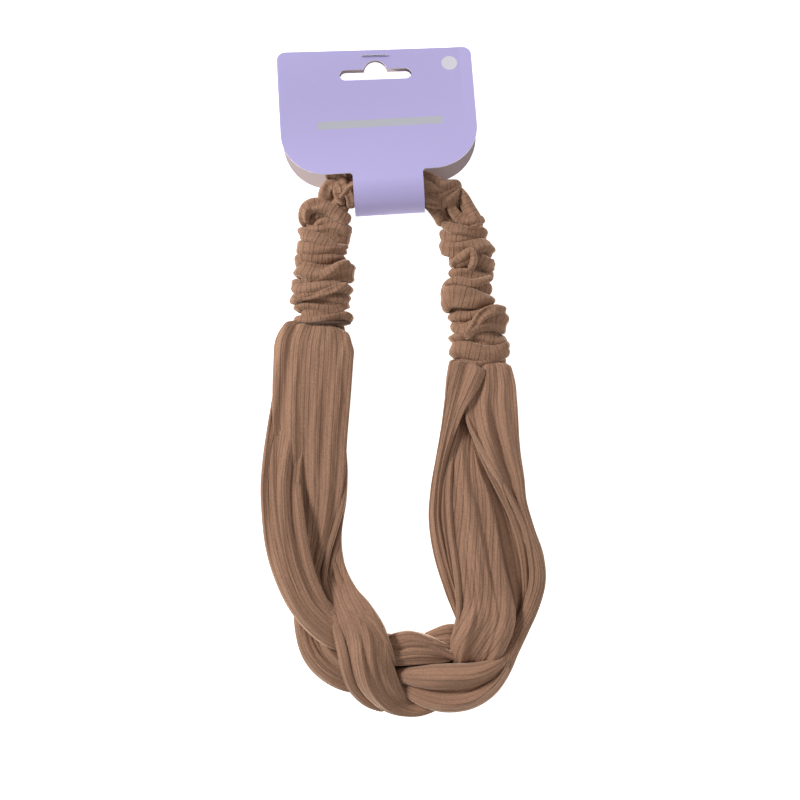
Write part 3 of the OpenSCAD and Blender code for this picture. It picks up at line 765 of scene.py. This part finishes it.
CARD_W = 86
FLAP_H = 59.5
FLAP_SHIFT = 2.7     # how far the flaps sit to the left of the neck
CARD_TOP = 63        # from the fold's axis to the top edge
NECK_W = 30.5
NECK_CORNER = 1.5
BOARD_T = 0.5
FOLD_R = 10.6        # inside radius of the fold round the casing
LOW_CORNER = 20
TOP_CORNER = 4
CARD_TURN = math.radians(3.5)
CARD_LIFT = 10       # how far the top left corner stands off the table
LIFT_FROM = 5        # how far from the fold's axis it starts to lift
LIFT_RIGHT = 35      # the X at which the lift has died away
LIFT_ACROSS = 80     # how far to the left of that it is full
FOLD_AT = (-6.5, 83.5, BOARD_T + FOLD_R)
FLAP_GAP = 0.1       # between the two flaps where they are stapled
SLOT_L = 31.75
SLOT_H = 5.2
SLOT_BUMP = 10.3     # diameter of the round bump above the bar
BUMP_DIP = 0.7       # how far the bump's circle would pass the bar's lower edge
SLOT_DOWN = 12.3     # from the top edge to the middle of the bar
CELL = 4.5           # how finely the flaps are cut so that they can bend
STAPLE_W = 11
STAPLE_WIRE = 0.6
STAPLE_DOWN = 2.8
STAPLE_BEND = 0.45
STAPLE_LEG = 3.6     # how long each end lies along the back flap
STAPLE_STANDS = 0.15

MID_R = FOLD_R + BOARD_T / 2
TOP_LEVEL = BOARD_T + FLAP_GAP - MID_R
TOP_AWAY = math.hypot(CARD_TOP, TOP_LEVEL)
LEAN = math.asin(MID_R / TOP_AWAY) - math.atan2(TOP_LEVEL, CARD_TOP)
FRONT_REACH = math.sqrt(TOP_AWAY ** 2 - MID_R ** 2)
FOLD_L = MID_R * (math.pi + LEAN)

# The printed bar and dot: X is across the card, T along it from where its fold starts
BAR_L = 55
BAR_H = 3.7
BAR_CORNER = 0.8
BAR_X = -FLAP_SHIFT + 0.7
BAR_T = FOLD_L + FRONT_REACH - 36.2
BAR_COLOUR = (0.46, 0.46, 0.51)
DOT_D = 7
DOT_X = -FLAP_SHIFT + 33
DOT_T = FOLD_L + FRONT_REACH - 8
DOT_COLOUR = (0.66, 0.64, 0.70)


def arc(x, y, r, first, last, n=14):
    """Points round a corner, from one angle in degrees to another."""
    angles = np.radians(np.linspace(first, last, n))
    return [(x + r * math.cos(a), y + r * math.sin(a)) for a in angles]


def flap_points(reach):
    """One flap's edge from the right of the neck round to its left; y = 0 is where it
    leaves the fold."""
    low, half = reach - FLAP_H, CARD_W / 2
    ease = NECK_CORNER
    right, left = half - FLAP_SHIFT, -half - FLAP_SHIFT
    return (
        [(NECK_W / 2, 0)]
        + arc(NECK_W / 2 + ease, low - ease, ease, 180, 90, 5)
        + arc(right - LOW_CORNER, low + LOW_CORNER, LOW_CORNER, -90, 0)
        + arc(right - TOP_CORNER, reach - TOP_CORNER, TOP_CORNER, 0, 90, 8)
        + arc(left + TOP_CORNER, reach - TOP_CORNER, TOP_CORNER, 90, 180, 8)
        + arc(left + LOW_CORNER, low + LOW_CORNER, LOW_CORNER, 180, 270)
        + arc(-NECK_W / 2 - ease, low - ease, ease, 90, 0, 5)
        + [(-NECK_W / 2, 0)]
    )


def slot_points(reach):
    """The hang hole: a bar with round ends and a round bump above its middle."""
    y, r, big = reach - SLOT_DOWN, SLOT_H / 2, SLOT_BUMP / 2
    up = big - r - BUMP_DIP
    meet = math.degrees(math.asin((r - up) / big))
    shape = (arc(SLOT_L / 2 - r, 0, r, -90, 90, 10) + arc(0, up, big, meet, 180 - meet, 22)
             + arc(-SLOT_L / 2 + r, 0, r, 90, 270, 10))
    return [(x - FLAP_SHIFT, y + dy) for x, dy in shape]


def lift(x, from_fold):
    """How far the top left of the stapled card stands off the table."""
    t = min(max((from_fold - LIFT_FROM) / (CARD_TOP - LIFT_FROM), 0), 1)
    side = min(max((LIFT_RIGHT - x) / LIFT_ACROSS, 0), 1)
    return CARD_LIFT * t * t * (3 - 2 * t) * side ** 1.2


def card_spot(x, t, out=0.0):
    """Where a point of the flat card lies once folded. out is along its printed face."""
    if t <= 0:
        y, z, ny, nz = -t, -MID_R, 0.0, -1.0
    elif t < FOLD_L:
        a = -math.pi / 2 - t / MID_R
        ny, nz = math.cos(a), math.sin(a)
        y, z = MID_R * ny, MID_R * nz
    else:
        ny, nz = math.sin(LEAN), math.cos(LEAN)
        far = t - FOLD_L
        y = MID_R * ny + far * math.cos(LEAN)
        z = MID_R * nz - far * math.sin(LEAN)
    y, z = y + out * ny, z + out * nz
    z += lift(x, y)
    c, s = math.cos(CARD_TURN), math.sin(CARD_TURN)
    return ((FOLD_AT[0] + x * c - y * s) * MM, (FOLD_AT[1] + x * s + y * c) * MM,
            (FOLD_AT[2] + z) * MM)


def flat_card():
    """The unfolded card as a flat mesh with its holes."""
    edge = [(x, FOLD_L + y) for x, y in flap_points(FRONT_REACH)]
    edge += [(x, -y) for x, y in reversed(flap_points(CARD_TOP))]
    holes = [[(x, FOLD_L + y) for x, y in slot_points(FRONT_REACH)],
             [(x, -y) for x, y in slot_points(CARD_TOP)]]
    shape = bpy.data.curves.new("flat_card", "CURVE")
    shape.dimensions = "2D"
    shape.fill_mode = "BOTH"
    for ring in [edge, *holes]:
        line = shape.splines.new("POLY")
        line.points.add(len(ring) - 1)
        line.points.foreach_set("co", [v for x, y in ring for v in (x, y, 0, 1)])
        line.use_cyclic_u = True
    holder = bpy.data.objects.new("flat_card", shape)
    bpy.context.scene.collection.objects.link(holder)
    graph = bpy.context.evaluated_depsgraph_get()
    mesh = bpy.data.meshes.new_from_object(holder.evaluated_get(graph))
    bpy.data.objects.remove(holder)
    return mesh


def hang_card(printed, plain, edge):
    """The folded card: a printed face, a plain inner face and cut edges."""
    flat = flat_card()
    bm = bmesh.new()
    bm.from_mesh(flat)
    bmesh.ops.remove_doubles(bm, verts=bm.verts, dist=0.001)
    cuts = [((0, 1, 0), FOLD_L * k / 30) for k in range(31)]
    cuts += [((0, 1, 0), -CARD_TOP + CELL * k) for k in range(1, 14)]
    cuts += [((0, 1, 0), FOLD_L + CELL * k) for k in range(1, 14)]
    cuts += [((1, 0, 0), 5.0 * k) for k in range(-9, 9)]
    for way, place in cuts:
        bmesh.ops.bisect_plane(bm, geom=bm.verts[:] + bm.edges[:] + bm.faces[:],
                               plane_co=[v * place for v in way], plane_no=way, dist=0.0005)
    bm.verts.index_update()
    bm.faces.ensure_lookup_table()
    spots = [(v.co.x, v.co.y) for v in bm.verts]
    faces = [[v.index for v in f.verts] for f in bm.faces]
    if bm.faces[0].normal.z < 0:
        faces = [f[::-1] for f in faces]
    rim = [(e.verts[0].index, e.verts[1].index) for e in bm.edges if len(e.link_faces) == 1]
    owner = {frozenset(p): None for p in rim}
    for f in faces:
        for a, b in zip(f, f[1:] + f[:1]):
            if frozenset((a, b)) in owner:
                owner[frozenset((a, b))] = (a, b)
    bm.free()
    n = len(spots)
    half = BOARD_T / 2
    points = [card_spot(x, t, half) for x, t in spots] + [card_spot(x, t, -half) for x, t in spots]
    skins = [tuple(f) for f in faces] + [tuple(v + n for v in reversed(f)) for f in faces]
    walls = [(b, a, a + n, b + n) for a, b in owner.values()]
    mesh = bpy.data.meshes.new("folded_card")
    mesh.from_pydata(points, [], skins + walls)
    uv = mesh.uv_layers.new(name=CLOTH_MAP)
    for loop in mesh.loops:
        uv.data[loop.index].uv = spots[loop.vertex_index % n]
    mesh.materials.append(printed)
    mesh.materials.append(plain)
    mesh.materials.append(edge)
    for i, polygon in enumerate(mesh.polygons):
        polygon.material_index = min(i // len(faces), 2)
    mesh.update()
    piece = bpy.data.objects.new("folded_card", mesh)
    bpy.context.scene.collection.objects.link(piece)
    return piece


# ---------------------------------------------------------------- staple, seams, elastic

def wire_staple(steel):
    """The bent wire through both flaps, with its ends pressed flush into the back."""
    reach = STAPLE_W / 2 - STAPLE_WIRE / 2
    low = STAPLE_WIRE / 2
    slope = math.tan(LEAN)
    top = BOARD_T + FLAP_GAP + STAPLE_DOWN * slope + BOARD_T / math.cos(LEAN)
    top += STAPLE_WIRE / 2 + STAPLE_STANDS
    bend = STAPLE_BEND
    inner = reach - STAPLE_LEG
    side = [(inner, low), (reach - bend, low), (reach, low + bend), (reach, top - bend),
            (reach - bend, top)]
    path = side + [(-x, z) for x, z in reversed(side)]
    c, s = math.cos(CARD_TURN), math.sin(CARD_TURN)
    y = CARD_TOP - STAPLE_DOWN
    rows = []
    for x, z in path:
        x -= FLAP_SHIFT
        rows.append((FOLD_AT[0] + x * c - y * s, FOLD_AT[1] + x * s + y * c,
                     z + lift(x, y), STAPLE_WIRE, STAPLE_WIRE))
    cloth = Cloth()
    sweep(cloth, rows, 2, spacing=0.15, cell=0.12, side=(-s, c, 0), taper=0.2)
    return cloth.make("wire_staple", steel)


def hem(name, at, wide, tall, painted_shade_thread):
    """The overlocked seam where a gathered panel is sewn into the casing. Its near-black thread
    paints the shade in the crease under the hem roll.
    """
    turn = np.linspace(0, 2 * np.pi, 24, endpoint=False)
    ring = [(at[0] + wide / 2 * math.cos(a), at[1], at[2] + tall / 2 * math.sin(a), 1.5, 1.5)
            for a in turn]
    cloth = Cloth()
    sweep(cloth, ring, 2.2, spacing=0.7, cell=0.35, loop=True, side=(0, 1, 0), turned=True,
          wide=10)
    return cloth.make(name, painted_shade_thread)


def elastic_strip(name, rows, material):
    cloth = Cloth()
    sweep(cloth, [(x, y, z, 10, 1.2) for x, y, z, *_ in rows], 6, spacing=1.5, cell=0.8,
          taper=0.3, wide=22)
    return cloth.make(name, material)


# ---------------------------------------------------------------- floor

def stage_floor():
    material, tree, shader = nodes_of("floor")
    shader.inputs["Base Color"].default_value = (0.9, 0.9, 0.9, 1)
    shader.inputs["Roughness"].default_value = 0.9
    shader.inputs["Emission Color"].default_value = (1, 1, 1, 1)
    shader.inputs["Emission Strength"].default_value = 0.85
    half = 3.0   # metres
    mesh = bpy.data.meshes.new("floor")
    corners = [(-half, -half, 0), (half, -half, 0), (half, half, 0), (-half, half, 0)]
    mesh.from_pydata(corners, [], [(0, 1, 2, 3)])
    mesh.materials.append(material)
    floor = bpy.data.objects.new("floor", mesh)
    floor.location.z = -0.0002
    bpy.context.scene.collection.objects.link(floor)


# ---------------------------------------------------------------- build

stage_floor()
strand_fabric = rib_knit("strand_fabric", (0.44, 0.25, 0.163), (0.37, 0.208, 0.134))
# The casing is the same knit as the strands, coloured about a tenth darker: painted shade for the
# deep grooves between the ruched gathers.
casing_fabric = rib_knit("casing_fabric", (0.40, 0.225, 0.145), (0.335, 0.187, 0.118),
                         rib_pitch=4.0, wale=0.7, stitch=2.2)
card_print = board("card_print", (0.47, 0.42, 0.72), printed=True)
card_plain = board("card_plain", (0.60, 0.51, 0.51))
card_edge = board("card_edge", (0.80, 0.76, 0.78))
steel = wire_steel("staple_steel")
elastic = woven_elastic("woven_elastic")
# Near-black seam thread: painted shade for the crease under each hem roll, much darker than the
# thread's own colour.
painted_shade_thread = sewing_thread("seam_painted_shade", (0.10, 0.055, 0.035))

for piece, node in ((front_strand(strand_fabric), "front_strand"),
                    (middle_strand(strand_fabric), "middle_strand"),
                    (rear_strand(strand_fabric), "rear_strand")):
    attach(piece, "front_band")
    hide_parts(node)

left_sleeve = left_arm(casing_fabric)
right_sleeve = right_arm(casing_fabric)
top_sleeve = top_casing(casing_fabric)
left_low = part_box("casing_left")[0]
right_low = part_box("casing_right")[0]
for sleeve, low, side in ((left_sleeve, left_low, "left"), (right_sleeve, right_low, "right")):
    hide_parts("casing_" + side)
    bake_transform(sleeve)
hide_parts("casing_top")
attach(top_sleeve, "loop_top")

for side, rows in (("left", CORE_LEFT), ("right", CORE_RIGHT)):
    strip = elastic_strip(side + "_elastic", rows, elastic)
    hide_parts("elastic_" + side)
    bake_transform(strip)
strip = elastic_strip("top_elastic", CORE_TOP, elastic)
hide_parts("elastic_top")
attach(strip, "loop_top")

for side, at, wide in (("left", (-36, 24.9, 6.6), 24), ("right", (33.4, 5.0, 6.6), 23)):
    seam = hem(side + "_seam", at, wide, 8.6, painted_shade_thread)
    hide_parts("seam_" + side)
    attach(seam, "front_band")

card = hang_card(card_print, card_plain, card_edge)
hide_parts("hang_card")
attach(card, "hanger")
staple = wire_staple(steel)
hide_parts("staple")
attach(staple, "hanger")


# ---------------------------------------------------------------- light and camera

def area_light(name, place, target, size, power):
    light = bpy.data.lights.new(name, "AREA")
    light.shape = "DISK"
    light.size = size
    light.energy = power
    holder = bpy.data.objects.new(name, light)
    holder.location = place
    way = np.array(target) - np.array(place)
    holder.rotation_mode = "QUATERNION"
    holder.rotation_quaternion = Vector(way).to_track_quat("-Z", "Y")
    bpy.context.scene.collection.objects.link(holder)


def studio():
    """A soft room, brighter round its walls than overhead, and two soft lamps."""
    world = bpy.data.worlds.new("studio")
    world.use_nodes = True
    tree = world.node_tree
    split = add(tree, "ShaderNodeSeparateXYZ")
    tree.links.new(add(tree, "ShaderNodeTexCoord").outputs["Generated"], split.inputs[0])
    sky = ramp(tree, split.outputs[2], [(0.0, 1.0), (0.3, 0.75), (0.6, 0.3), (1.0, 0.12)])
    back = tree.nodes["Background"]
    tree.links.new(sky, back.inputs[0])
    back.inputs[1].default_value = 0.77
    bpy.context.scene.world = world
    bpy.context.scene.view_settings.view_transform = "Standard"
    area_light("key", (-0.85, 0.45, 0.6), (0, 0, 0), 0.3, 13)
    area_light("fill", (0.7, -0.3, 0.7), (0, 0, 0), 0.6, 2.5)


def camera():
    """Straight above the flat-laid band."""
    lens = bpy.data.cameras.new("camera")
    lens.lens = 65.35
    lens.sensor_width = 36
    holder = bpy.data.objects.new("camera", lens)
    holder.location = (-0.00155, -0.0092, 0.65)
    bpy.context.scene.collection.objects.link(holder)
    bpy.context.scene.camera = holder


studio()
camera()
